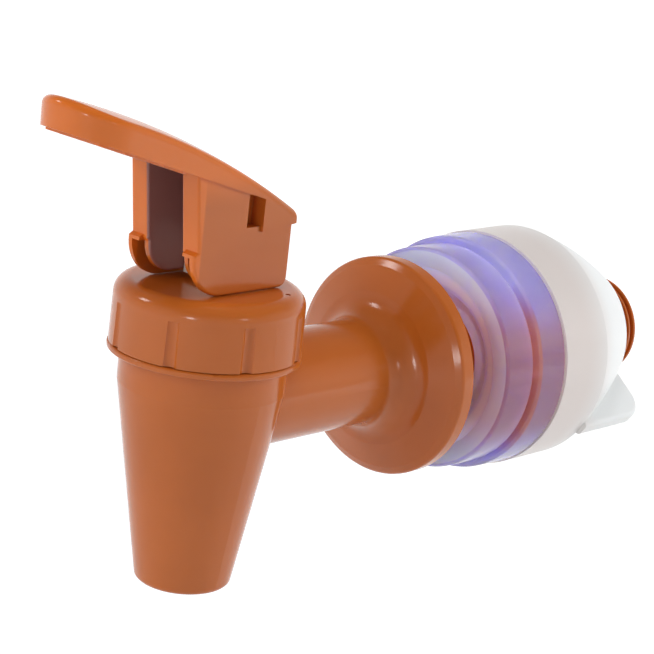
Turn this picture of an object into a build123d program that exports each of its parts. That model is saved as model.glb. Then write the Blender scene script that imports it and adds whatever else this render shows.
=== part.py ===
# Water filter tap: a push-lever tap with a tapered spout, a wall flange and a threaded shank.
# Lengths are in millimetres. The origin is the centre of the flange's rear face, which bears on
# the vessel. +Y runs along the shank into the vessel, -Y points at the user, and +Z is up.
# Threads are left off: threaded parts are plain at the root of the male thread.
from build123d import *
from math import cos, radians, sin, sqrt
import os

# Body: barrel and spout
SPOUT_REACH = 50.5          # flange rear face to the spout's axis
BARREL_R = 14.9             # straight top of the barrel
CONE_TOP_Z = 3.5            # where the barrel starts to taper
SPOUT_END_Z = -33.5
SPOUT_END_R = 8.6
SPOUT_LIP_ROUND = 1.2
COLLAR_R = 17.2             # ring that the bonnet screws down to
COLLAR_TOP_Z = 10.3
COLLAR_T = 1.2
COLLAR_ROUND = 0.45
NECK_R = 15.0               # neck inside the bonnet
BARREL_WALL = 2.3
SEAT_Z = -16.0              # floor of the chamber
SEAT_BEAD_H = 0.8
SEAT_BEAD_W = 1.4
OUTLET_R = 6.2

# Body: arm, flange and shank
ARM_R = 10.0
ARM_END_Y = -11.7           # where the arm starts to flare into the flange
FLARE_R = 5.6
FLARE_TURN = 80.0           # angle that the flare turns through
FLARE_ROUND = 3.0           # between the flare and the flange's shallow cone
FLANGE_R = 21.1
FLANGE_RIM = 3.2            # straight part of the rim, along Y
FLANGE_SLOPE_Y = 0.9        # sloped edge between the rim and the front face
FLANGE_SLOPE_R = 1.5
FLANGE_ROUND = 0.7
REAR_BEVEL = 0.4
SHANK_LENGTH = 66.7
THREAD_MAJOR_R = 10.48      # half-inch pipe thread
THREAD_DEPTH = 1.16
SHANK_BEVEL = 0.4
SHANK_BORE_R = 6.75

# Bonnet
BONNET_SEAT_GAP = 0.15
BONNET_TOP_Z = 22.0
BONNET_BASE_R = 17.0
BONNET_SHOULDER_R = 16.85   # a little draft towards the top
BONNET_ROUND = 3.0
BONNET_ROOF = 2.2
BONNET_THREAD_GAP = 0.15
GRIP_COUNT = 8
GRIP_GROOVE_R = 1.5
GRIP_GROOVE_DEPTH = 0.6
GRIP_TURN = 26.0            # angle of the first groove from the front, towards +X
GRIP_STOP = 0.6             # groove ends this far under the rounded shoulder
PIT_R = 0.5
PIT_DEPTH = 0.7
PIT_X = 12.2
PIT_Y = 6.7

# Stem, cup and spring
STEM_R = 2.6
STEM_RUN = 0.08             # running clearance in the bonnet
PIVOT_Z = 27.6
HEAD_R = 3.1
HEAD_BASE_Z = 23.0
HEAD_GAP = 0.25             # side clearance between the head and a cheek
TRUNNION_R = 1.9
TRUNNION_RUN = 0.06
TRUNNION_REACH = 2.1        # how far a trunnion stands out of the head
COLLAR_DISC_R = 6.2
COLLAR_DISC_T = 1.8
KNOB_R = 3.6
KNOB_T = 1.6
CUP_RIM_R = 14.6
CUP_RIM_T = 1.3
CUP_WALL = 1.1
CUP_R = 8.8
CUP_FOLD_R = 10.8
CUP_FOLD_Z = 13.0
CUP_FOLD_H = 3.0
CUP_FOOT_R = 7.8
CUP_FOOT_T = 4.6
SOFT_GAP = 0.05             # between soft and hard parts that press together
SPRING_WIRE_R = 0.45
SPRING_R = 4.7
SPRING_TURNS = 8
SPRING_WASHER_R = 7.2
SPRING_WASHER_T = 0.6
SPRING_WASHER_GAP = 0.3     # around the stem

# Lever
CHEEK_OUT_X = 8.45
CHEEK_IN_X = 4.25
CHEEK_FRONT_Y = -12.8       # front of the foot, from the spout's axis
CHEEK_REAR_Y = 9.9
CHEEK_EDGE = 0.5            # rounding of the front edges
FOOT_TOP_Z = 29.7           # above it the front of the cheek steps back
FOOT_STEP = 0.85
FOOT_SLOPE = 0.5            # rise of the sloped ledge on the foot
CHEEK_LEAN = 2.1            # above the foot the front leans out by this much up to the deck
CAM_R = 7.0
CHEEK_REAR_ROUND = 1.8
CAM_GAP = 0.12              # cam to bonnet, at rest
CHEEK_SKIN = 1.2            # outer and inner walls of the hollow foot of a cheek
INNER_WALL_STEP = 1.3       # the inner wall stands back from the cam
HOLLOW_TOP_Z = 29.1
HOLLOW_REAR_WALL = 1.4
SOCKET_BOSS_R = 3.5
DECK_HALF_W = 9.0
DECK_TIP_Y = -38.2
DECK_HEEL_Y = 10.2
DECK_HEEL_Z = 36.8          # crown of the deck at the heel, middle and tip
DECK_MID_Z = 48.95
DECK_TIP_Z = 56.4
DECK_CROWN = 1.1            # the deck's edges are this much lower than its crown
DECK_T = 2.0
DECK_ROUND = 1.3            # rounding of the deck's edges
SKIRT_T = 1.4
SKIRT_HEEL_Z = 38.5         # lower edge of the skirt at the front of the heel skirt
SKIRT_TIP_Z = 51.0
HEEL_SKIRT_Y = 2.1          # front edge of the deep skirt at the heel
HEEL_SKIRT_Z = 32.7
HEEL_SKIRT_RISE = 0.9
POCKET_LENGTH = 3.4         # recess in the cheek, ahead of the heel skirt
POCKET_DEPTH = 2.5
RIB_T = 1.2
RIB_DROP = 0.4              # ribs under the deck stand below the skirt
RIB_COUNT = 5
RIB_PITCH = 4.2
RIB_FIRST = 4.6             # first cross rib from the tip

# Washers and nut
WASHER_T = 7.6
WASHER_BORE_GAP = 0.27      # over the thread's crest
FRONT_WASHER_R = 22.0
REAR_WASHER_R = 23.4
WASHER_DRAFT = 0.25
WASHER_ROUND = 0.7
DISH_OUT_R = 18.0
DISH_IN_R = 13.6
DISH_DEPTH = 3.2
FRONT_WASHER_Y = 9.2
WASHER_GAP = 0.6            # the washers hang loose on the shank
NUT_GAP = 0.1
NUT_STEP = 0.2              # the nut's rim stands out past the rear washer
NUT_RIM = 13.0              # length of the rim before the back rounds over
NUT_LENGTH = 31.4
NUT_BELLY_DROP = 4.3        # radius lost by a point halfway round the back
NUT_BELLY_Y = 23.3          # that point's distance behind the front
NUT_HUB_R = 15.0
NUT_WALL = 2.5
NUT_HUB_WALL = 3.6
NUT_HUB_SOLID = 10.0        # length at the rear where hub and back are one
NUT_THREAD_GAP = 0.25
NUT_RIBS = 6
NUT_RIB_T = 1.8
WING_TURN = -34.0           # angle of the wings from +X
WING_T = 3.4
WING_STEP = 0.8             # the wings stand out past the rim
WING_REAR = 3.0             # how far the wings reach behind the hub
WING_ROOT_GAP = 0.9         # wings to thread crest, behind the hub
WING_LAP = 2.0              # depth of the wing's root in the hub
WING_CORNER = 5.5
WING_EDGE = 1.0

# Distance that a cutter reaches past what it cuts
PAST = 1.0

# Sizes that follow from the ones above
THREAD_ROOT_R = THREAD_MAJOR_R - THREAD_DEPTH
CONE_SLOPE = (BARREL_R - SPOUT_END_R) / (CONE_TOP_Z - SPOUT_END_Z)
CHAMBER_R = BARREL_R - BARREL_WALL
CHAMBER_FLOOR_R = CHAMBER_R - CONE_SLOPE * (CONE_TOP_Z - SEAT_Z)
ROOF_Z = BONNET_TOP_Z - BONNET_ROOF
NECK_TOP_Z = ROOF_Z - CUP_RIM_T - 2 * SOFT_GAP
CUP_BASE_Z = SEAT_Z + SEAT_BEAD_H + SOFT_GAP
CUP_FLOOR_Z = CUP_BASE_Z + CUP_FOOT_T
KNOB_Z = CUP_BASE_Z + (CUP_FOOT_T - KNOB_T) / 2
SPRING_BASE_Z = CUP_FLOOR_Z + SOFT_GAP + COLLAR_DISC_T
SPRING_TOP_Z = ROOF_Z - SPRING_WASHER_T - SOFT_GAP
HEAD_HALF_W = CHEEK_IN_X - HEAD_GAP
CAM_BASE_Z = BONNET_TOP_Z + CAM_GAP
REAR_WASHER_Y = FRONT_WASHER_Y + WASHER_T + WASHER_GAP
NUT_Y = REAR_WASHER_Y + WASHER_T + NUT_GAP
NUT_R = REAR_WASHER_R + NUT_STEP
WING_R = NUT_R + WING_STEP
SPOUT_AXIS = Location((0, -SPOUT_REACH, 0))


def is_near(value, wanted):
    """Whether two lengths are the same to a hundredth of a millimetre."""
    return abs(value - wanted) < 0.01


def outline(*points):
    """Closed flat face through the given points."""
    return make_face(Polyline(*points, close=True))


def turned_about_z(face):
    """Solid of a (radius, height) face turned about the spout's axis."""
    return SPOUT_AXIS * revolve(Plane.XZ * face, Axis.Z)


def turned_about_y(face):
    """Solid of a (radius, y) face turned about the shank's axis."""
    return revolve(face, Axis.Y)


def upright_cylinder(radius, low_z, high_z, x=0.0, y=0.0):
    """Cylinder along Z between two heights, placed from the spout's axis."""
    middle = (x, y, (low_z + high_z) / 2)
    return SPOUT_AXIS * (Location(middle) * Cylinder(radius, high_z - low_z))


def shank_cylinder(radius, front_y, rear_y):
    """Cylinder along the shank's axis between two places in Y."""
    return Location((0, (front_y + rear_y) / 2, 0), (90, 0, 0)) * Cylinder(radius, rear_y - front_y)


def cross_cylinder(radius, low_x, high_x, y, z):
    """Cylinder along X between two places, at a point given from the spout's axis."""
    place = Location(((low_x + high_x) / 2, y, z), (0, 90, 0))
    return SPOUT_AXIS * (place * Cylinder(radius, high_x - low_x))


def block(low, high):
    """Box between two corners given from the spout's axis."""
    size = [b - a for a, b in zip(low, high)]
    middle = [(a + b) / 2 for a, b in zip(low, high)]
    return SPOUT_AXIS * (Location(middle) * Box(*size))


def extruded_across(face, low_x, high_x):
    """Solid of a (y, z) face, given from the spout's axis, between two places in X."""
    return SPOUT_AXIS * (Location((low_x, 0, 0)) * extrude(Plane.YZ * face, high_x - low_x))


def make_barrel():
    """Outside of the barrel, with its collar ring, neck and rounded spout end."""
    shell = turned_about_z(outline(
        (0, SPOUT_END_Z), (SPOUT_END_R, SPOUT_END_Z), (BARREL_R, CONE_TOP_Z),
        (BARREL_R, COLLAR_TOP_Z - COLLAR_T), (COLLAR_R, COLLAR_TOP_Z - COLLAR_T),
        (COLLAR_R, COLLAR_TOP_Z), (NECK_R, COLLAR_TOP_Z), (NECK_R, NECK_TOP_Z), (0, NECK_TOP_Z)))
    rings = shell.edges().filter_by(GeomType.CIRCLE)
    shell = fillet(rings.filter_by(lambda e: is_near(e.radius, SPOUT_END_R)), SPOUT_LIP_ROUND)
    rings = shell.edges().filter_by(GeomType.CIRCLE)
    return fillet(rings.filter_by(lambda e: is_near(e.radius, COLLAR_R)), COLLAR_ROUND)


def make_arm_and_flange():
    """Arm, flare, dished flange and shank as one turned outline about Y."""
    face_y = -FLANGE_RIM - FLANGE_SLOPE_Y
    flare_y = ARM_END_Y + FLARE_R * sin(radians(FLARE_TURN))
    edge = Polyline((0, -SPOUT_REACH), (ARM_R, -SPOUT_REACH), (ARM_R, ARM_END_Y))
    turns = [radians(FLARE_TURN * share) for share in (0, 0.5, 1)]
    flare = ThreePointArc(*[
        (ARM_R + FLARE_R * (1 - cos(turn)), ARM_END_Y + FLARE_R * sin(turn)) for turn in turns])
    rest = Polyline(
        flare @ 1, (FLANGE_R - FLANGE_SLOPE_R, face_y), (FLANGE_R, -FLANGE_RIM),
        (FLANGE_R, -REAR_BEVEL), (FLANGE_R - REAR_BEVEL, 0), (THREAD_ROOT_R, 0),
        (THREAD_ROOT_R, SHANK_LENGTH - SHANK_BEVEL), (THREAD_ROOT_R - SHANK_BEVEL, SHANK_LENGTH),
        (0, SHANK_LENGTH), (0, -SPOUT_REACH))
    solid = turned_about_y(make_face([edge, flare, rest]))
    rings = solid.edges().filter_by(GeomType.CIRCLE)
    sloped = rings.filter_by(lambda e: is_near(e.center().Y, -FLANGE_RIM) or is_near(e.center().Y, face_y))
    solid = fillet(sloped, FLANGE_ROUND)
    rings = solid.edges().filter_by(GeomType.CIRCLE)
    return fillet(rings.filter_by(lambda e: is_near(e.center().Y, flare_y)), FLARE_ROUND)


def make_tap_body():
    """Barrel, arm, flange and shank in one moulding, with its waterway."""
    body = make_barrel() + make_arm_and_flange()
    top = NECK_TOP_Z + PAST
    low = SPOUT_END_Z - PAST
    bead_z = SEAT_Z + SEAT_BEAD_H
    bead_r = OUTLET_R + SEAT_BEAD_W
    chamber = turned_about_z(outline(
        (0, bead_z), (bead_r, bead_z), (bead_r, SEAT_Z),
        (CHAMBER_FLOOR_R, SEAT_Z), (CHAMBER_R, CONE_TOP_Z), (CHAMBER_R, top), (0, top)))
    outlet = upright_cylinder(OUTLET_R, low, bead_z + PAST)
    return body - chamber - outlet - shank_cylinder(SHANK_BORE_R, -SPOUT_REACH, SHANK_LENGTH + PAST)


def make_bonnet():
    """Screwed cap with a rounded shoulder, grip panels and a hole for the stem."""
    base_z = COLLAR_TOP_Z + BONNET_SEAT_GAP
    inner_r = NECK_R + BONNET_THREAD_GAP
    shoulder_z = BONNET_TOP_Z - BONNET_ROUND
    side = Polyline((inner_r, base_z), (BONNET_BASE_R, base_z), (BONNET_SHOULDER_R, shoulder_z))
    slant = BONNET_ROUND / sqrt(2)
    arc = ThreePointArc(
        (BONNET_SHOULDER_R, shoulder_z),
        (BONNET_SHOULDER_R - BONNET_ROUND + slant, shoulder_z + slant),
        (BONNET_SHOULDER_R - BONNET_ROUND, BONNET_TOP_Z))
    hole_r = STEM_R + STEM_RUN
    roof = Polyline(
        (BONNET_SHOULDER_R - BONNET_ROUND, BONNET_TOP_Z), (hole_r, BONNET_TOP_Z), (hole_r, ROOF_Z),
        (inner_r, ROOF_Z), (inner_r, base_z))
    cap = turned_about_z(make_face([side, arc, roof]))
    cutter_r = BONNET_BASE_R + GRIP_GROOVE_R - GRIP_GROOVE_DEPTH
    for index in range(GRIP_COUNT):
        angle = radians(GRIP_TURN - 90 + index * 360 / GRIP_COUNT)
        cap -= upright_cylinder(
            GRIP_GROOVE_R, base_z - PAST, shoulder_z - GRIP_STOP, cutter_r * cos(angle), cutter_r * sin(angle))
    return cap - upright_cylinder(PIT_R, BONNET_TOP_Z - PIT_DEPTH, BONNET_TOP_Z + PAST, PIT_X, PIT_Y)


def make_stem():
    """Plunger rod with its foot knob, spring collar and cross head with two trunnions."""
    rod = upright_cylinder(STEM_R, KNOB_Z, HEAD_BASE_Z + PAST)
    rod += upright_cylinder(KNOB_R, KNOB_Z, KNOB_Z + KNOB_T)
    rod += upright_cylinder(COLLAR_DISC_R, SPRING_BASE_Z - COLLAR_DISC_T, SPRING_BASE_Z)
    head = block((-HEAD_HALF_W, -HEAD_R, HEAD_BASE_Z), (HEAD_HALF_W, HEAD_R, PIVOT_Z))
    head += cross_cylinder(HEAD_R, -HEAD_HALF_W, HEAD_HALF_W, 0, PIVOT_Z)
    reach = HEAD_HALF_W + TRUNNION_REACH
    return rod + head + cross_cylinder(TRUNNION_R, -reach, reach, 0, PIVOT_Z)


def make_seat_cup():
    """Silicone bell: flat rim, one rolling fold, thin wall and a solid foot on the seat."""
    low_fold = CUP_FOLD_Z - CUP_FOLD_H / 2
    high_fold = CUP_FOLD_Z + CUP_FOLD_H / 2
    rim_z = NECK_TOP_Z + SOFT_GAP

    def wall_line(shift):
        """The bell's wall from fold to rim, moved in by the given amount."""
        return [(CUP_R - shift, low_fold), (CUP_FOLD_R - shift, CUP_FOLD_Z), (CUP_R - shift, high_fold)]

    inner_r = CUP_R - CUP_WALL
    outside = [(0, CUP_BASE_Z), (CUP_FOOT_R, CUP_BASE_Z), (CUP_R, CUP_FLOOR_Z)] + wall_line(0)
    rim = [(CUP_R, rim_z), (CUP_RIM_R, rim_z), (CUP_RIM_R, rim_z + CUP_RIM_T), (inner_r, rim_z + CUP_RIM_T)]
    inside = list(reversed(wall_line(CUP_WALL))) + [(inner_r, CUP_FLOOR_Z), (0, CUP_FLOOR_Z)]
    bell = turned_about_z(outline(*outside, *rim, *inside))
    bell -= upright_cylinder(STEM_R + SOFT_GAP, KNOB_Z, CUP_FLOOR_Z + PAST)
    return bell - upright_cylinder(KNOB_R + SOFT_GAP, KNOB_Z - SOFT_GAP, KNOB_Z + KNOB_T + SOFT_GAP)


def make_spring():
    """Compression spring between the stem's collar and the washer under the bonnet."""
    low = SPRING_BASE_Z + SPRING_WIRE_R + SOFT_GAP
    high = SPRING_TOP_Z - SPRING_WIRE_R - SOFT_GAP
    path = Helix((high - low) / SPRING_TURNS, high - low, SPRING_R)
    section = Plane(path @ 0, z_dir=path % 0) * Circle(SPRING_WIRE_R)
    return SPOUT_AXIS * (Location((0, 0, low)) * sweep(section, path=path))


def make_spring_washer():
    """Thin washer between the spring and the bonnet's roof."""
    high = SPRING_TOP_Z + SPRING_WASHER_T
    ring = upright_cylinder(SPRING_WASHER_R, SPRING_TOP_Z, high)
    return ring - upright_cylinder(STEM_R + SPRING_WASHER_GAP, SPRING_TOP_Z - PAST, high + PAST)


def deck_arc(drop):
    """The deck's lengthwise curve from heel to tip, lowered by the given amount."""
    middle_y = (DECK_HEEL_Y + DECK_TIP_Y) / 2
    return ThreePointArc(
        (DECK_HEEL_Y, DECK_HEEL_Z - drop), (middle_y, DECK_MID_Z - drop), (DECK_TIP_Y, DECK_TIP_Z - drop))


def skirt_edge_z(y, drop=0.0):
    """Height of the straight lower edge of the skirt."""
    share = (HEEL_SKIRT_Y - y) / (HEEL_SKIRT_Y - DECK_TIP_Y)
    return SKIRT_HEEL_Z + share * (SKIRT_TIP_Z - SKIRT_HEEL_Z) - drop


def between_deck_and(low_points, drop, half_w):
    """Slice of the lever from the lowered deck curve down to a line of (y, z) points."""
    top = deck_arc(drop)
    line = Polyline((DECK_TIP_Y, DECK_TIP_Z - drop), *low_points, (DECK_HEEL_Y, DECK_HEEL_Z - drop))
    return extruded_across(make_face([top, line]), -half_w, half_w)


def plan_shape(inset):
    """Upright column with the deck's plan: straight sides and a half-round tip."""
    half_w = DECK_HALF_W - inset
    centre_y = DECK_TIP_Y + DECK_HALF_W
    low, high = BONNET_TOP_Z, DECK_TIP_Z + PAST
    column = block((-half_w, centre_y, low), (half_w, DECK_HEEL_Y - inset, high))
    return column + upright_cylinder(half_w, low, high, 0, centre_y)


def crowned(solid):
    """The solid cut to the deck's crown, a shallow arch across its width."""
    curve = Plane.YZ * deck_arc(0)
    centre = curve.arc_center
    edge_r = curve.radius - DECK_CROWN
    reach = curve.radius - 2 * (DECK_TIP_Z - BONNET_TOP_Z)
    section = make_face([
        ThreePointArc((-DECK_HALF_W, edge_r), (0, curve.radius), (DECK_HALF_W, edge_r)),
        Polyline((DECK_HALF_W, edge_r), (DECK_HALF_W, reach), (-DECK_HALF_W, reach), (-DECK_HALF_W, edge_r))])
    ring = revolve(Plane(centre, x_dir=(1, 0, 0), z_dir=(0, -1, 0)) * section, Axis(centre, (1, 0, 0)))
    return solid & (SPOUT_AXIS * ring)


def make_deck():
    """Paddle: a crowned deck with rounded edges and a skirt around it, deeper at the heel."""
    heel = (DECK_HEEL_Y, HEEL_SKIRT_Z + HEEL_SKIRT_RISE)
    heel_front = (HEEL_SKIRT_Y, HEEL_SKIRT_Z)
    step = (HEEL_SKIRT_Y, SKIRT_HEEL_Z)
    tip = (DECK_TIP_Y, SKIRT_TIP_Z)
    outer = crowned(between_deck_and([tip, step, heel_front, heel], 0, DECK_HALF_W) & plan_shape(0))
    outer = fillet(outer.faces().filter_by(GeomType.TORUS).edges(), DECK_ROUND)
    low_line = [(DECK_TIP_Y, BONNET_TOP_Z), (DECK_HEEL_Y, BONNET_TOP_Z)]
    hollow = between_deck_and(low_line, DECK_T + DECK_CROWN, DECK_HALF_W - SKIRT_T)
    return outer - (hollow & plan_shape(SKIRT_T))


def make_ribs():
    """Ribs under the paddle: one along its middle, and short ones across it."""
    front_y = DECK_TIP_Y + RIB_FIRST
    low_line = [(y, skirt_edge_z(y, RIB_DROP)) for y in (DECK_TIP_Y, CHEEK_FRONT_Y)]
    slab = between_deck_and(low_line, DECK_T, DECK_HALF_W) & plan_shape(SKIRT_T / 2)
    keep = block((-RIB_T / 2, front_y, BONNET_TOP_Z), (RIB_T / 2, CHEEK_FRONT_Y, DECK_TIP_Z))
    for index in range(RIB_COUNT):
        y = front_y + index * RIB_PITCH
        keep += block((-DECK_HALF_W, y - RIB_T / 2, BONNET_TOP_Z), (DECK_HALF_W, y + RIB_T / 2, DECK_TIP_Z))
    return slab & keep


def cheek_plate(low_x, high_x, step_back, foot_y):
    """Cam plate between two places in X, with its front edges rounded on the side that shows."""
    cam_y = CHEEK_FRONT_Y + CAM_R
    cam_z = CAM_BASE_Z + CAM_R
    radius = CAM_R - step_back
    slant = radius / sqrt(2)
    cam = ThreePointArc((cam_y - radius, cam_z), (cam_y - slant, cam_z - slant), (cam_y, cam_z - radius))
    band_y = CHEEK_FRONT_Y + FOOT_STEP
    rest = Polyline(
        (cam_y, cam_z - radius), (CHEEK_REAR_Y, cam_z - radius), (CHEEK_REAR_Y, DECK_HEEL_Z - DECK_T),
        (band_y - CHEEK_LEAN, DECK_MID_Z - DECK_T), (band_y, FOOT_TOP_Z + FOOT_SLOPE),
        (foot_y, FOOT_TOP_Z), (cam_y - radius, cam_z))
    plate = extruded_across(make_face([cam, rest]), low_x, high_x)
    rear = plate.edges().filter_by(Axis.X).filter_by(lambda e: is_near(e.center().Z, cam_z - radius))
    return fillet(rear.sort_by(Axis.Y)[-1], CHEEK_REAR_ROUND)


def front_rounded(plate, face):
    """The plate with the front edges of one of its flat sides rounded."""
    edges = face.edges().filter_by(lambda e: e.center().Y < CHEEK_FRONT_Y + CAM_R - SPOUT_REACH)
    front = edges.filter_by(lambda e: e.center().Z < DECK_MID_Z - 2 * DECK_T)
    return fillet(front, CHEEK_EDGE)


def make_cheek():
    """Right-hand cheek: a cam plate with a hollow foot, a socket for the trunnion and a pocket."""
    wall_x = CHEEK_IN_X + CHEEK_SKIN
    outer = cheek_plate(wall_x, CHEEK_OUT_X, 0, CHEEK_FRONT_Y)
    outer = front_rounded(outer, outer.faces().sort_by(Axis.X)[-1])
    inner = cheek_plate(CHEEK_IN_X, wall_x, INNER_WALL_STEP, CHEEK_FRONT_Y + FOOT_STEP)
    inner = front_rounded(inner, inner.faces().sort_by(Axis.X)[0])
    hollow = block((wall_x, CHEEK_FRONT_Y - PAST, CAM_BASE_Z - PAST),
                   (CHEEK_OUT_X - CHEEK_SKIN, CHEEK_REAR_Y - HOLLOW_REAR_WALL, HOLLOW_TOP_Z))
    boss = cross_cylinder(SOCKET_BOSS_R, CHEEK_IN_X, CHEEK_OUT_X - CHEEK_SKIN / 2, 0, PIVOT_Z)
    socket_end = HEAD_HALF_W + TRUNNION_REACH + HEAD_GAP
    socket = cross_cylinder(TRUNNION_R + TRUNNION_RUN, 0, socket_end, 0, PIVOT_Z)
    pocket = block((CHEEK_OUT_X - POCKET_DEPTH, HEEL_SKIRT_Y - POCKET_LENGTH, HEEL_SKIRT_Z + HEEL_SKIRT_RISE),
                   (CHEEK_OUT_X + PAST, HEEL_SKIRT_Y, DECK_MID_Z))
    return (outer + inner - hollow) + boss - socket - pocket


def make_lever():
    """Paddle and its two cheeks in one moulding."""
    right = make_cheek()
    left = mirror(right, Plane.YZ)
    return make_deck() + make_ribs() + right + left


def make_washer(front_y, radius):
    """Silicone ring with a dished mouth towards the user."""
    bore_r = THREAD_MAJOR_R + WASHER_BORE_GAP
    rear_y = front_y + WASHER_T
    ring = turned_about_y(outline(
        (bore_r, front_y + DISH_DEPTH), (DISH_IN_R, front_y + DISH_DEPTH), (DISH_OUT_R, front_y),
        (radius - WASHER_DRAFT, front_y), (radius, rear_y), (bore_r, rear_y)))
    rings = ring.edges().filter_by(GeomType.CIRCLE)
    return fillet(rings.sort_by(lambda e: e.radius)[-2:], WASHER_ROUND)


def nut_back_line(shift):
    """Rounded back of the nut from rim to hub, moved in by the given amount."""
    return ThreePointArc(
        (NUT_R - shift, NUT_Y + NUT_RIM), (NUT_R - NUT_BELLY_DROP - shift, NUT_Y + NUT_BELLY_Y - shift / 2),
        (NUT_HUB_R - shift, NUT_Y + NUT_LENGTH - shift))


def make_wing():
    """One wing: a flat tab on the nut's back, out to the right, with a rounded rear corner."""
    rear = NUT_Y + NUT_LENGTH
    root_r = THREAD_MAJOR_R + WING_ROOT_GAP
    mid_r = (root_r + NUT_HUB_R) / 2
    face = outline((mid_r, NUT_Y + NUT_RIM), (WING_R, NUT_Y + NUT_RIM), (WING_R, rear + WING_REAR / 2),
                   (root_r, rear + WING_REAR), (root_r, rear - WING_LAP), (mid_r, rear - WING_LAP))
    corner = face.vertices().sort_by(Axis.Y)[-2:].sort_by(Axis.X)[-1]
    tab = extrude(fillet(corner, WING_CORNER), WING_T / 2, both=True)
    outer = tab.edges().filter_by(Plane.XY).filter_by(
        lambda e: e.center().X > NUT_HUB_R and e.center().Y > NUT_Y + NUT_RIM + PAST)
    return fillet(outer, WING_EDGE)


def make_wing_nut():
    """Nut with a wide rim, a domed back, a ribbed hollow in front and two wings."""
    bore_r = THREAD_ROOT_R + NUT_THREAD_GAP
    hub_r = bore_r + NUT_HUB_WALL
    rim_end = NUT_Y + NUT_RIM
    rear = NUT_Y + NUT_LENGTH
    shell = turned_about_y(make_face([
        Polyline((bore_r, NUT_Y), (NUT_R, NUT_Y), (NUT_R, rim_end)),
        nut_back_line(0),
        Polyline((NUT_HUB_R, rear), (bore_r, rear), (bore_r, NUT_Y))]))
    inner_r = NUT_R - NUT_WALL
    front = NUT_Y - PAST
    hollow = turned_about_y(make_face([
        Polyline((hub_r, front), (inner_r, front), (inner_r, rim_end)),
        nut_back_line(NUT_WALL),
        Polyline((NUT_HUB_R - NUT_WALL, rear - NUT_WALL), (hub_r, rear - NUT_HUB_SOLID), (hub_r, front))]))
    for index in range(NUT_RIBS):
        hollow -= Location((0, NUT_Y, 0), (0, index * 360 / NUT_RIBS, 0)) * Box(
            NUT_R, 2 * NUT_LENGTH, NUT_RIB_T, align=(Align.MIN, Align.CENTER, Align.CENTER))
    nut = shell - hollow
    for turn in (WING_TURN, WING_TURN + 180):
        nut += Rot(0, -turn, 0) * make_wing()
    return nut - shank_cylinder(bore_r, front, rear + WING_REAR)


nodes = {
    "tap_body": make_tap_body,
    "bonnet": make_bonnet,
    "stem": make_stem,
    "seat_cup": make_seat_cup,
    "spring": make_spring,
    "spring_washer": make_spring_washer,
    "lever": make_lever,
    "front_washer": lambda: make_washer(FRONT_WASHER_Y, FRONT_WASHER_R),
    "rear_washer": lambda: make_washer(REAR_WASHER_Y, REAR_WASHER_R),
    "wing_nut": make_wing_nut,
}
os.makedirs("parts", exist_ok=True)
for name, make in nodes.items():
    export_step(make(), f"parts/{name}.step")
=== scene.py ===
"""Looks of the water filter tap: finishes for every piece, the shank's thread, and the studio."""
import math
import bpy
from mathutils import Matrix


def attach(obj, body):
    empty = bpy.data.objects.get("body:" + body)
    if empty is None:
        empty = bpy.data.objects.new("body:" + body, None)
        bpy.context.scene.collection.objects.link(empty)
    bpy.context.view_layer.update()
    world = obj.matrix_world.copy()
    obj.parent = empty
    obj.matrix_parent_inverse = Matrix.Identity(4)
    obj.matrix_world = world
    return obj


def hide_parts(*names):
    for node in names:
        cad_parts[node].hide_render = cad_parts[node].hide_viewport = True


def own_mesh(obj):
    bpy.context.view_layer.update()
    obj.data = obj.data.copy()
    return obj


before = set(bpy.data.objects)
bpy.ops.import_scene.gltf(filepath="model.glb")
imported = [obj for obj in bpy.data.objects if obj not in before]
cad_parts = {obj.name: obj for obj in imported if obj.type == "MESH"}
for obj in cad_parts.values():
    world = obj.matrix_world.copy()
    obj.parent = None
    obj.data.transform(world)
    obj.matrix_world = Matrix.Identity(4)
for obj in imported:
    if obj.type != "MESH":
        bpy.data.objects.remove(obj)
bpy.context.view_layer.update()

# Tap body. Barrel, arm, wall flange and shank are one injection moulding in terracotta-brown
# polypropylene. The plastic is glossy, lets a little light in at thin edges and has faint flow marks.
BROWN = (0.53, 0.130, 0.018, 1)
BROWN_FLOW = (0.49, 0.118, 0.015, 1)
BROWN_GLOSS = 0.38           # a little less mirror-like than clear plastic
BROWN_GLOW = (0.0030, 0.0012, 0.0006)     # how far red, green and blue light spread inside, in metres
BROWN_GLOW_SHARE = 0.12
BROWN_ROUGH = (0.12, 0.20)
FLOW_SCALE = 55.0            # flow marks, gloss and ripple, in features a metre
FLOW_STRETCH = (1.0, 0.45, 1.0)
GLOSS_SCALE = 260.0
RIPPLE_SCALE = 700.0
RIPPLE_DEPTH = 0.00003


def new_material(name):
    """An empty node material with its Principled shader, the node tree and Object coordinates."""
    material = bpy.data.materials.new(name)
    material.use_nodes = True
    tree = material.node_tree
    shader = tree.nodes["Principled BSDF"]
    place = tree.nodes.new("ShaderNodeTexCoord")
    return material, tree, shader, place.outputs["Object"]


def noise(tree, coordinates, scale, detail=3.0):
    """A noise pattern of the given scale, in features a metre."""
    node = tree.nodes.new("ShaderNodeTexNoise")
    node.inputs["Scale"].default_value = scale
    node.inputs["Detail"].default_value = detail
    tree.links.new(coordinates, node.inputs["Vector"])
    return node.outputs["Fac"]


def ramp(tree, factor, low, high, low_at=0.35, high_at=0.65):
    """Blends two colours by a factor, between the two places."""
    node = tree.nodes.new("ShaderNodeValToRGB")
    node.color_ramp.elements[0].position = low_at
    node.color_ramp.elements[0].color = low
    node.color_ramp.elements[1].position = high_at
    node.color_ramp.elements[1].color = high
    tree.links.new(factor, node.inputs["Fac"])
    return node.outputs["Color"]


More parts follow.
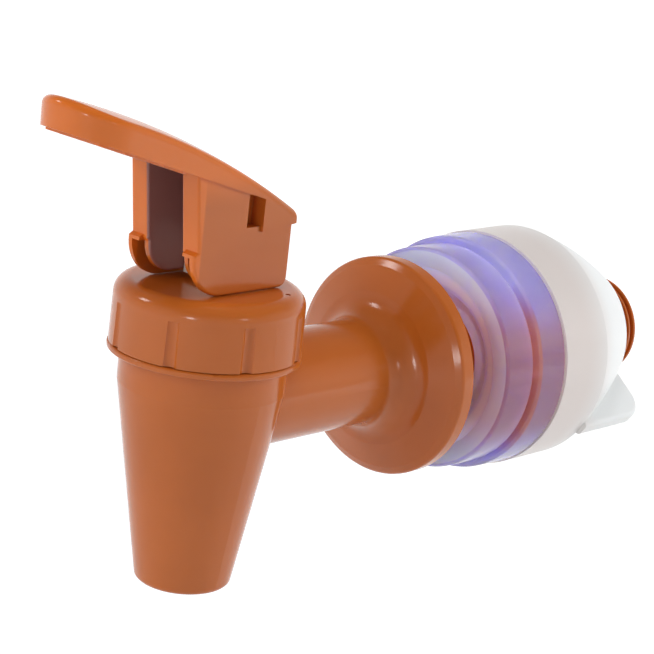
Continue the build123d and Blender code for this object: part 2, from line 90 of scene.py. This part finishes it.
def spread(tree, factor, low, high):
    """Maps a factor of 0 to 1 onto a range of numbers."""
    node = tree.nodes.new("ShaderNodeMapRange")
    node.inputs["To Min"].default_value = low
    node.inputs["To Max"].default_value = high
    tree.links.new(factor, node.inputs["Value"])
    return node.outputs["Result"]


def bumped(tree, shader, height, depth, strength):
    """Gives the shader a bump of that depth, in metres."""
    node = tree.nodes.new("ShaderNodeBump")
    node.inputs["Strength"].default_value = strength
    node.inputs["Distance"].default_value = depth
    tree.links.new(height, node.inputs["Height"])
    tree.links.new(node.outputs["Normal"], shader.inputs["Normal"])


def moulded_plastic(name, colour, flow_colour, rough, glow, glow_share, ripple=0.2, gloss=0.5):
    """Smooth moulded plastic: soft flow marks in its colour, uneven gloss and a faint ripple."""
    material, tree, shader, coordinates = new_material(name)
    stretch = tree.nodes.new("ShaderNodeMapping")
    stretch.inputs["Scale"].default_value = FLOW_STRETCH
    tree.links.new(coordinates, stretch.inputs["Vector"])
    flow = noise(tree, stretch.outputs["Vector"], FLOW_SCALE)
    tree.links.new(ramp(tree, flow, flow_colour, colour), shader.inputs["Base Color"])
    tree.links.new(spread(tree, noise(tree, coordinates, GLOSS_SCALE), *rough), shader.inputs["Roughness"])
    bumped(tree, shader, noise(tree, coordinates, RIPPLE_SCALE, 2.0), RIPPLE_DEPTH, ripple)
    shader.inputs["Specular IOR Level"].default_value = gloss
    shader.inputs["Subsurface Weight"].default_value = glow_share
    shader.inputs["Subsurface Radius"].default_value = glow
    shader.inputs["Subsurface Scale"].default_value = 1.0
    return material


def finish_node(node_name, material):
    """Puts a material on every slot of a CAD node."""
    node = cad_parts[node_name]
    if not node.material_slots:
        node.data.materials.append(material)
    for material_slot in node.material_slots:
        material_slot.material = material


brown_plastic = moulded_plastic(
    "brown_plastic", BROWN, BROWN_FLOW, BROWN_ROUGH, BROWN_GLOW, BROWN_GLOW_SHARE, gloss=BROWN_GLOSS)
finish_node("tap_body", brown_plastic)

# Shank thread. The half-inch pipe thread is moulded on the shank, right-handed, with rounded crests.
# It rises just behind the flange and is cut off at the shank's end, and the wing nut runs on it.
THREAD_PITCH = 0.001814
THREAD_CREST_R = 0.01048
THREAD_ROOT_R = 0.00932
THREAD_FRONT_Y = 0.0022
THREAD_TURNS = 36
THREAD_REAR_Y = 0.06655      # the ridge is cut off here, at the shank's end
THREAD_STEPS = 72
THREAD_SUNK = 0.00012        # the ridge's foot lies this deep in the shank
THREAD_FOOT_WIDTH = 0.00170
THREAD_CREST_SHARE = 0.36    # width of the crest against the foot
THREAD_CREST_ROUND = 0.00016
SMOOTH_ANGLE = math.radians(40)


def deselect_all():
    """Leaves nothing selected and nothing in edit mode."""
    if bpy.context.object and bpy.context.object.mode != "OBJECT":
        bpy.ops.object.mode_set(mode="OBJECT")
    bpy.ops.object.select_all(action="DESELECT")


def place_in_mesh(piece):
    """Moves a piece's place, turn and size into its mesh, so that its object is at the origin."""
    deselect_all()
    piece.select_set(True)
    bpy.context.view_layer.objects.active = piece
    bpy.ops.object.transform_apply(location=True, rotation=True, scale=True)


def facing_out(piece):
    """Merges doubles and turns every face outwards."""
    deselect_all()
    piece.select_set(True)
    bpy.context.view_layer.objects.active = piece
    bpy.ops.object.mode_set(mode="EDIT")
    bpy.ops.mesh.select_all(action="SELECT")
    bpy.ops.mesh.remove_doubles(threshold=0.000002)
    bpy.ops.mesh.normals_make_consistent(inside=False)
    bpy.ops.object.mode_set(mode="OBJECT")


foot_r = THREAD_ROOT_R - THREAD_SUNK
deselect_all()
bpy.ops.mesh.primitive_plane_add(size=1.0, location=((foot_r + THREAD_CREST_R) / 2, THREAD_FRONT_Y, 0))
shank_thread = bpy.context.object
shank_thread.name = "shank_thread"
shank_thread.scale = (THREAD_CREST_R - foot_r, THREAD_FOOT_WIDTH, 1)
place_in_mesh(shank_thread)
for vertex in shank_thread.data.vertices:
    vertex.select = vertex.co.x > (foot_r + THREAD_CREST_R) / 2
bpy.ops.object.mode_set(mode="EDIT")
bpy.ops.mesh.select_mode(type="VERT")
bpy.ops.transform.resize(value=(1, THREAD_CREST_SHARE, 1))
bpy.ops.mesh.bevel(offset=THREAD_CREST_ROUND, segments=2, affect="VERTICES")
bpy.ops.mesh.select_all(action="SELECT")
bpy.ops.mesh.delete(type="ONLY_FACE")
bpy.ops.object.mode_set(mode="OBJECT")
winding = shank_thread.modifiers.new("winding", "SCREW")
winding.axis = "Y"
winding.screw_offset = THREAD_PITCH
winding.iterations = THREAD_TURNS
winding.steps = THREAD_STEPS
winding.render_steps = THREAD_STEPS
bpy.ops.object.modifier_apply(modifier="winding")
for vertex in shank_thread.data.vertices:
    radius = math.hypot(vertex.co.x, vertex.co.z)
    run_in = (vertex.co.y - THREAD_FRONT_Y) / THREAD_PITCH
    share = max(0.02, min(1.0, run_in + 0.5))
    new_radius = foot_r + (radius - foot_r) * share
    vertex.co.x *= new_radius / radius
    vertex.co.z *= new_radius / radius
bpy.ops.object.mode_set(mode="EDIT")
bpy.ops.mesh.select_all(action="SELECT")
bpy.ops.mesh.fill_holes(sides=0)
bpy.ops.mesh.select_all(action="SELECT")
bpy.ops.mesh.bisect(plane_co=(0, THREAD_REAR_Y, 0), plane_no=(0, 1, 0), use_fill=True, clear_outer=True)
bpy.ops.object.mode_set(mode="OBJECT")
facing_out(shank_thread)
bpy.ops.object.shade_smooth_by_angle(angle=SMOOTH_ANGLE)
for face in shank_thread.data.polygons:
    if face.center.y > THREAD_REAR_Y - THREAD_SUNK / 10:
        face.use_smooth = False
shank_thread.data.materials.append(brown_plastic)
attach(shank_thread, "tap")

# Stem, its spring washer and the spring. The stem and the washer are natural acetal, off-white and
# a little waxy. The spring is drawn stainless wire, seated on the stem's collar under the bonnet. The real
# spring shortens as the stem lifts; here a stiff copy of it is parented to the stem's body.
NATURAL = (0.80, 0.79, 0.74, 1)
NATURAL_FLOW = (0.76, 0.745, 0.69, 1)
NATURAL_ROUGH = (0.34, 0.44)
NATURAL_GLOW = (0.002, 0.0018, 0.0015)
NATURAL_GLOW_SHARE = 0.2
SPRING_STEEL = (0.56, 0.56, 0.58, 1)
SPRING_ROUGH = (0.22, 0.38)
DRAWN_SCALE = 1500.0         # faint unevenness of the drawn wire


def yielding(node_name, piece_name, material):
    """A stiff copy of a CAD node that stands for it, parented to the stem's body."""
    piece = bpy.data.objects.new(piece_name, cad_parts[node_name].data.copy())
    bpy.context.collection.objects.link(piece)
    facing_out(piece)
    bpy.ops.mesh.customdata_custom_splitnormals_clear()
    bpy.ops.object.shade_smooth_by_angle(angle=SMOOTH_ANGLE)
    piece.data.materials.clear()
    piece.data.materials.append(material)
    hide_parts(node_name)
    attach(piece, "stem")
    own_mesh(piece)


natural_plastic = moulded_plastic(
    "natural_plastic", NATURAL, NATURAL_FLOW, NATURAL_ROUGH, NATURAL_GLOW, NATURAL_GLOW_SHARE)
finish_node("stem", natural_plastic)
finish_node("spring_washer", natural_plastic)

spring_steel, tree, shader, coordinates = new_material("spring_steel")
shader.inputs["Base Color"].default_value = SPRING_STEEL
shader.inputs["Metallic"].default_value = 1.0
wire_rough = spread(tree, noise(tree, coordinates, DRAWN_SCALE), *SPRING_ROUGH)
tree.links.new(wire_rough, shader.inputs["Roughness"])
yielding("spring", "spring_coil", spring_steel)

# Seat cup. A bell of milky food-grade silicone, pressed over the stem's knob. Its rim is clamped
# under the bonnet and its foot closes the seat. The real bell folds as the stem lifts; here a stiff copy is
# parented to the stem's body.
MILKY = (0.76, 0.78, 0.78, 1)
MILKY_DEEP = (0.66, 0.69, 0.70, 1)
MILKY_SCALE = 120.0
MILKY_ROUGH = (0.35, 0.5)
MILKY_GLOSS_SCALE = 400.0
MILKY_GRAIN_SCALE = 1200.0
MILKY_GLOW = (0.004, 0.004, 0.004)
MILKY_GLOW_SHARE = 0.6
SILICONE_GRAIN = 0.00004     # depth of the skin's fine grain
SILICONE_IOR = 1.41

clear_silicone, tree, shader, coordinates = new_material("clear_silicone")
milk = ramp(tree, noise(tree, coordinates, MILKY_SCALE), MILKY_DEEP, MILKY)
tree.links.new(milk, shader.inputs["Base Color"])
skin_rough = spread(tree, noise(tree, coordinates, MILKY_GLOSS_SCALE), *MILKY_ROUGH)
tree.links.new(skin_rough, shader.inputs["Roughness"])
bumped(tree, shader, noise(tree, coordinates, MILKY_GRAIN_SCALE), SILICONE_GRAIN, 0.3)
shader.inputs["Subsurface Weight"].default_value = MILKY_GLOW_SHARE
shader.inputs["Subsurface Radius"].default_value = MILKY_GLOW
shader.inputs["Subsurface Scale"].default_value = 1.0
shader.inputs["IOR"].default_value = SILICONE_IOR
yielding("seat_cup", "seat_cup_bell", clear_silicone)

# Bonnet. A screwed cap of the same brown plastic as the body, with grip panels round its side. It is
# screwed on the barrel's neck, and holds the cup's rim and the spring.
finish_node("bonnet", brown_plastic)

# Lever. Paddle and cheeks are one moulding of the same brown plastic. It snaps over the stem's
# trunnions. Its thin skirt and cheek edges carry a warmer painted glow, and painted shade lies between the
# cheeks.
# painted glow for the thin skirt and the cheeks' front edges
LEVER_PAINTED_GLOW = (0.70, 0.162, 0.016, 1)
# painted shade for the space between the cheeks
LEVER_PAINTED_SHADE = (0.34, 0.150, 0.130, 1)
PADDLE_FROM_Z = 0.037        # the painted glow starts here, and is full at the next
PADDLE_FULL_Z = 0.044
PAINTED_SHADE_FADE = 0.003            # the painted shade fades out over this height above the paddle's lower side
CHEEK_FRONT_Y = -0.0622      # front edges of the cheeks
CHEEK_EDGE = 0.0006
CHEEK_INSIDE_X = 0.0044      # inner sides of the cheeks
CHEEK_SKIN = 0.0003
DECK_ARC_CENTRE = (0, -0.12276, -0.09726)
DECK_ARC_R = 0.15739         # the deck's crown runs along this arc, from heel to tip
DECK_UNDER = (0.0019, 0.0013)    # the painted shade ends between these depths under the crown
HEEL_Y = -0.0408             # and before the heel's rear face
HEEL_EDGE = 0.0004


def blended(tree, factor, one, other):
    """One colour turning into another as the factor goes from 0 to 1."""
    node = tree.nodes.new("ShaderNodeMix")
    node.data_type = "RGBA"
    tree.links.new(factor, node.inputs["Factor"])
    for value, socket in ((one, node.inputs[6]), (other, node.inputs[7])):
        if isinstance(value, tuple):
            socket.default_value = value
        else:
            tree.links.new(value, socket)
    return node.outputs[2]


def measured(tree, operation, value, other=None):
    """A number worked out from a socket, and from another number where one is given."""
    node = tree.nodes.new("ShaderNodeMath")
    node.operation = operation
    tree.links.new(value, node.inputs[0])
    if other is not None:
        node.inputs[1].default_value = other
    return node.outputs["Value"]


def ranged(tree, value, low, high, at_low=0.0, at_high=1.0):
    """A socket's range from low to high, mapped onto two other numbers with soft ends."""
    node = tree.nodes.new("ShaderNodeMapRange")
    node.interpolation_type = "SMOOTHSTEP"
    node.inputs["From Min"].default_value = low
    node.inputs["From Max"].default_value = high
    node.inputs["To Min"].default_value = at_low
    node.inputs["To Max"].default_value = at_high
    tree.links.new(value, node.inputs["Value"])
    return node.outputs["Result"]


def multiplied(tree, one, other):
    """The product of two sockets."""
    node = tree.nodes.new("ShaderNodeMath")
    node.operation = "MULTIPLY"
    tree.links.new(one, node.inputs[0])
    tree.links.new(other, node.inputs[1])
    return node.outputs["Value"]


def highest(tree, *values):
    """The highest of some sockets or numbers."""
    result = values[0]
    for value in values[1:]:
        node = tree.nodes.new("ShaderNodeMath")
        node.operation = "MAXIMUM"
        tree.links.new(result, node.inputs[0])
        if isinstance(value, float):
            node.inputs[1].default_value = value
        else:
            tree.links.new(value, node.inputs[1])
        result = node.outputs["Value"]
    return result


lever_plastic = moulded_plastic(
    "lever_plastic", BROWN, BROWN_FLOW, BROWN_ROUGH, BROWN_GLOW, BROWN_GLOW_SHARE, gloss=BROWN_GLOSS)
tree = lever_plastic.node_tree
shader = tree.nodes["Principled BSDF"]
place = tree.nodes.new("ShaderNodeSeparateXYZ")
tree.links.new(tree.nodes.new("ShaderNodeTexCoord").outputs["Object"], place.inputs["Vector"])
paddle = ranged(tree, place.outputs["Z"], PADDLE_FROM_Z, PADDLE_FULL_Z)
cheek_front = ranged(tree, place.outputs["Y"], CHEEK_FRONT_Y, CHEEK_FRONT_Y + CHEEK_EDGE, 1.0, 0.0)
sideways = measured(tree, "ABSOLUTE", place.outputs["X"])
inside = ranged(tree, sideways, CHEEK_INSIDE_X, CHEEK_INSIDE_X + CHEEK_SKIN, 1.0, 0.0)
below_paddle = ranged(tree, place.outputs["Z"], PADDLE_FULL_Z, PADDLE_FULL_Z + PAINTED_SHADE_FADE, 1.0, 0.0)
in_profile = tree.nodes.new("ShaderNodeVectorMath")
in_profile.operation = "MULTIPLY"
in_profile.inputs[1].default_value = (0, 1, 1)
tree.links.new(place.inputs["Vector"].links[0].from_socket, in_profile.inputs[0])
from_centre = tree.nodes.new("ShaderNodeVectorMath")
from_centre.operation = "DISTANCE"
from_centre.inputs[1].default_value = DECK_ARC_CENTRE
tree.links.new(in_profile.outputs["Vector"], from_centre.inputs[0])
shade_from, shade_to = (DECK_ARC_R - depth for depth in DECK_UNDER)
under_deck = ranged(tree, from_centre.outputs["Value"], shade_from, shade_to, 1.0, 0.0)
before_heel = ranged(tree, place.outputs["Y"], HEEL_Y - HEEL_EDGE, HEEL_Y, 1.0, 0.0)
# painted shade between the cheeks, under the deck and before the heel
painted_shade = multiplied(tree, multiplied(tree, inside, below_paddle), multiplied(tree, under_deck, before_heel))
moulded = shader.inputs["Base Color"].links[0].from_socket
# painted glow on the paddle and the cheek fronts, then painted shade between the cheeks
with_glow = blended(tree, highest(tree, paddle, cheek_front), moulded, LEVER_PAINTED_GLOW)
tree.links.new(blended(tree, painted_shade, with_glow, LEVER_PAINTED_SHADE), shader.inputs["Base Color"])
finish_node("lever", lever_plastic)

# Washers. Two soft rings of clear violet silicone, moulded and glossy, loose on the shank. Their colour
# holds painted light: bluish where lit, and a reddish painted shine at mid height, where the brown shank
# shows through.
VIOLET = (0.51, 0.47, 1.0, 1)
VIOLET_DEEP = (0.45, 0.41, 0.98, 1)
# Painted light: the shank's reddish shine, the bluish lit faces, a pale ring on the dish and the shine by
# the gap
PAINTED_SHINE_THROUGH = (0.44, 0.22, 0.34, 1)
PAINTED_LIT_FACE = (0.74, 0.80, 1.0, 1)
FACE_LILAC = (0.78, 0.74, 1.0, 1)
PAINTED_FACE_RING = (0.96, 0.90, 1.0, 1)
PAINTED_GAP_SHINE = (0.62, 0.22, 0.17, 1)
SHINE_FULL_Z = 0.008         # the painted shine of the shank is full this near mid height
SHINE_END_Z = 0.018          # and not at all beyond this
FACE_R = 0.0213              # the front faces end at this radius
FACE_EDGE = 0.0004
RIM_FROM_R = 0.0166          # the front face's painted lit rim starts here, and is full at the next
RIM_FULL_R = 0.0184
DISH_FROM_R = 0.0142         # its dished middle ends here
DISH_FULL_R = 0.0152
GAP_Y = 0.0171               # middle of the gap between the washers
GAP_HALF = 0.0011
CLOUD_SCALE = 70.0           # faint clouds, gloss and grain, in features a metre
WET_SCALE = 300.0
WET_ROUGH = (0.10, 0.18)
GRAIN_SCALE = 400.0
WASHER_CLEARNESS = 0.5
WASHER_GLOW = (0.007, 0.007, 0.014)

violet_silicone, tree, shader, coordinates = new_material("violet_silicone")
place = tree.nodes.new("ShaderNodeSeparateXYZ")
tree.links.new(coordinates, place.inputs["Vector"])
flat = tree.nodes.new("ShaderNodeVectorMath")
flat.operation = "MULTIPLY"
flat.inputs[1].default_value = (1, 0, 1)
tree.links.new(coordinates, flat.inputs[0])
from_axis = tree.nodes.new("ShaderNodeVectorMath")
from_axis.operation = "LENGTH"
tree.links.new(flat.outputs["Vector"], from_axis.inputs[0])
radius = from_axis.outputs["Value"]
height = measured(tree, "ABSOLUTE", place.outputs["Z"])
# painted shine of the brown shank, full at mid height
shine = ranged(tree, height, SHINE_FULL_Z, SHINE_END_Z, 1.0, 0.0)
violet = ramp(tree, noise(tree, coordinates, CLOUD_SCALE), VIOLET_DEEP, VIOLET)
side = blended(tree, shine, violet, PAINTED_SHINE_THROUGH)
outer_face = blended(tree, shine, PAINTED_LIT_FACE, FACE_LILAC)
rim = ranged(tree, radius, RIM_FROM_R, RIM_FULL_R)
dish = ranged(tree, radius, DISH_FROM_R, DISH_FULL_R)
# front faces: painted light ring on the dish and painted lit rim
front = blended(tree, rim, blended(tree, dish, FACE_LILAC, PAINTED_FACE_RING), outer_face)
off_gap = measured(tree, "ABSOLUTE", measured(tree, "SUBTRACT", place.outputs["Y"], GAP_Y))
# painted shine of the shank on the washers' sides by the gap
gap = multiplied(tree, ranged(tree, off_gap, GAP_HALF / 2, GAP_HALF, 1.0, 0.0), shine)
skin = blended(tree, ranged(tree, radius, FACE_R - FACE_EDGE, FACE_R), front, side)
tree.links.new(blended(tree, gap, skin, PAINTED_GAP_SHINE), shader.inputs["Base Color"])
tree.links.new(spread(tree, noise(tree, coordinates, WET_SCALE), *WET_ROUGH), shader.inputs["Roughness"])
bumped(tree, shader, noise(tree, coordinates, GRAIN_SCALE), SILICONE_GRAIN, 0.2)
shader.inputs["IOR"].default_value = SILICONE_IOR
shader.inputs["Transmission Weight"].default_value = WASHER_CLEARNESS
shader.inputs["Subsurface Weight"].default_value = 1.0
shader.inputs["Subsurface Radius"].default_value = WASHER_GLOW
shader.inputs["Subsurface Scale"].default_value = 1.0
for washer in ("front_washer", "rear_washer"):
    finish_node(washer, violet_silicone)
    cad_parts[washer].visible_shadow = False     # light passes through to the shank inside

# Wing nut. A hollow nut of white polypropylene with a wide rim, a domed back and two thumb wings.
# Its thick rim carries a creamy painted shade, which fades to white on the thinner dome.
# painted shade of the rim, then the white of the nut
NUT_RIM_SHADE = (0.76, 0.69, 0.66, 1)
NUT_WHITE = (0.88, 0.90, 0.90, 1)
NUT_RIM_Y = 0.031            # the painted rim shade starts to fade here, and the dome is white from the next on
NUT_DOME_Y = 0.045
NUT_ROUGH = (0.26, 0.32)
NUT_GLOW = (0.004, 0.0035, 0.003)
NUT_GLOW_SHARE = 0.1

white_plastic = moulded_plastic(
    "white_plastic", NUT_WHITE, NUT_RIM_SHADE, NUT_ROUGH, NUT_GLOW, NUT_GLOW_SHARE, ripple=0.03)
tree = white_plastic.node_tree
along = tree.nodes.new("ShaderNodeSeparateXYZ")
tree.links.new(tree.nodes.new("ShaderNodeTexCoord").outputs["Object"], along.inputs["Vector"])
# painted shade on the rim, fading out towards the white dome
rise = ranged(tree, along.outputs["Y"], NUT_RIM_Y, NUT_DOME_Y)
tree.links.new(blended(tree, rise, NUT_RIM_SHADE, NUT_WHITE), tree.nodes["Principled BSDF"].inputs["Base Color"])
finish_node("wing_nut", white_plastic)

# Studio. A plain white floor well below the tap, soft lamps round it and an even world. The camera
# stands where the photograph's did.
FLOOR_Z = -0.088
FLOOR_SIZE = 8.0
FLOOR_WHITE = (0.80, 0.80, 0.80, 1)
FLOOR_GLOW_NEAR = 0.38       # what the camera sees is lifted to white by this much under the tap
FLOOR_GLOW_FAR = 0.85        # and by this much where the lamps no longer reach
FLOOR_FAR = 1.2
WORLD_LIGHT = 0.25
BACKDROP_TOP = 0.15          # the white backdrop reaches this high, as the sine of an elevation
CEILING_FROM = 0.60          # and above this there is only a dim ceiling
CEILING_LIGHT = 0.25
LAMP_AIM = (0, -0.02, 0.01)
CAMERA_PLACE = (0.25823, -0.30566, 0.11635)
CAMERA_TURN = (74.449, -6.390, 43.828)    # in degrees
CAMERA_LENS = 118.79


def soft_lamp(name, place, size, power, mirrored=True):
    """A square area lamp at a place, turned towards the tap, and whether glossy parts mirror it."""
    lamp = bpy.data.lights.new(name, "AREA")
    lamp.size = size
    lamp.energy = power
    holder = bpy.data.objects.new(name, lamp)
    bpy.context.collection.objects.link(holder)
    holder.location = place
    holder.visible_glossy = mirrored
    away = holder.location.copy()
    for axis in range(3):
        away[axis] -= LAMP_AIM[axis]
    holder.rotation_euler = away.to_track_quat("Z", "Y").to_euler()


deselect_all()
bpy.ops.mesh.primitive_plane_add(size=FLOOR_SIZE, location=(0, 0, FLOOR_Z))
floor = bpy.context.object
floor.name = "floor"
floor_paint, tree, shader, coordinates = new_material("floor_paint")
shader.inputs["Roughness"].default_value = 0.9
shader.inputs["Specular IOR Level"].default_value = 0.0
shader.inputs["Base Color"].default_value = FLOOR_WHITE
shader.inputs["Emission Color"].default_value = (1, 1, 1, 1)
distance = tree.nodes.new("ShaderNodeVectorMath")
distance.operation = "LENGTH"
tree.links.new(coordinates, distance.inputs[0])
glow = tree.nodes.new("ShaderNodeMapRange")
glow.inputs["From Max"].default_value = FLOOR_FAR
glow.inputs["To Min"].default_value = FLOOR_GLOW_NEAR
glow.inputs["To Max"].default_value = FLOOR_GLOW_FAR
tree.links.new(distance.outputs["Value"], glow.inputs["Value"])
path = tree.nodes.new("ShaderNodeLightPath").outputs
seen = highest(tree, path["Is Camera Ray"], path["Is Glossy Ray"], path["Is Transmission Ray"])
tree.links.new(multiplied(tree, glow.outputs["Result"], seen), shader.inputs["Emission Strength"])
floor.data.materials.append(floor_paint)

world = bpy.data.worlds.new("studio_world")
bpy.context.scene.world = world
world.use_nodes = True
world_light = world.node_tree.nodes["Background"]
world_light.inputs["Color"].default_value = (1, 1, 1, 1)
tree = world.node_tree
path = tree.nodes.new("ShaderNodeLightPath").outputs
direction = tree.nodes.new("ShaderNodeSeparateXYZ")
tree.links.new(tree.nodes.new("ShaderNodeTexCoord").outputs["Generated"], direction.inputs["Vector"])
overhead = tree.nodes.new("ShaderNodeMapRange")
overhead.inputs["From Min"].default_value = BACKDROP_TOP
overhead.inputs["From Max"].default_value = CEILING_FROM
overhead.inputs["To Min"].default_value = 1.0
overhead.inputs["To Max"].default_value = CEILING_LIGHT
tree.links.new(direction.outputs["Z"], overhead.inputs["Value"])
mirrored_sky = multiplied(tree, path["Is Glossy Ray"], overhead.outputs["Result"])
world_level = highest(tree, path["Is Camera Ray"], path["Is Transmission Ray"], mirrored_sky, WORLD_LIGHT)
tree.links.new(world_level, world_light.inputs["Strength"])

soft_lamp("left_lamp", (-0.59, -0.53, 0.55), 0.16, 0.95)
soft_lamp("front_lamp", (0.37, -0.81, 0.10), 0.13, 0.75)
soft_lamp("fill_lamp", (-0.20, -0.85, 0.35), 0.50, 2.80, mirrored=False)
soft_lamp("right_lamp", (0.85, -0.05, 0.30), 0.12, 0.25)
soft_lamp("back_lamp", (0.60, 0.65, 0.35), 0.50, 4.60, mirrored=False)
soft_lamp("rear_lamp", (-0.55, 0.70, 0.40), 0.20, 0.60, mirrored=False)
soft_lamp("top_lamp", (0.00, -0.02, 0.90), 0.22, 1.75, mirrored=False)

camera_data = bpy.data.cameras.new("photo_camera")
camera_data.lens = CAMERA_LENS
camera_data.sensor_width = 36.0
camera_data.clip_start = 0.01
camera = bpy.data.objects.new("photo_camera", camera_data)
bpy.context.collection.objects.link(camera)
camera.location = CAMERA_PLACE
camera.rotation_euler = [math.radians(angle) for angle in CAMERA_TURN]
bpy.context.scene.camera = camera
bpy.context.scene.view_settings.view_transform = "Standard"
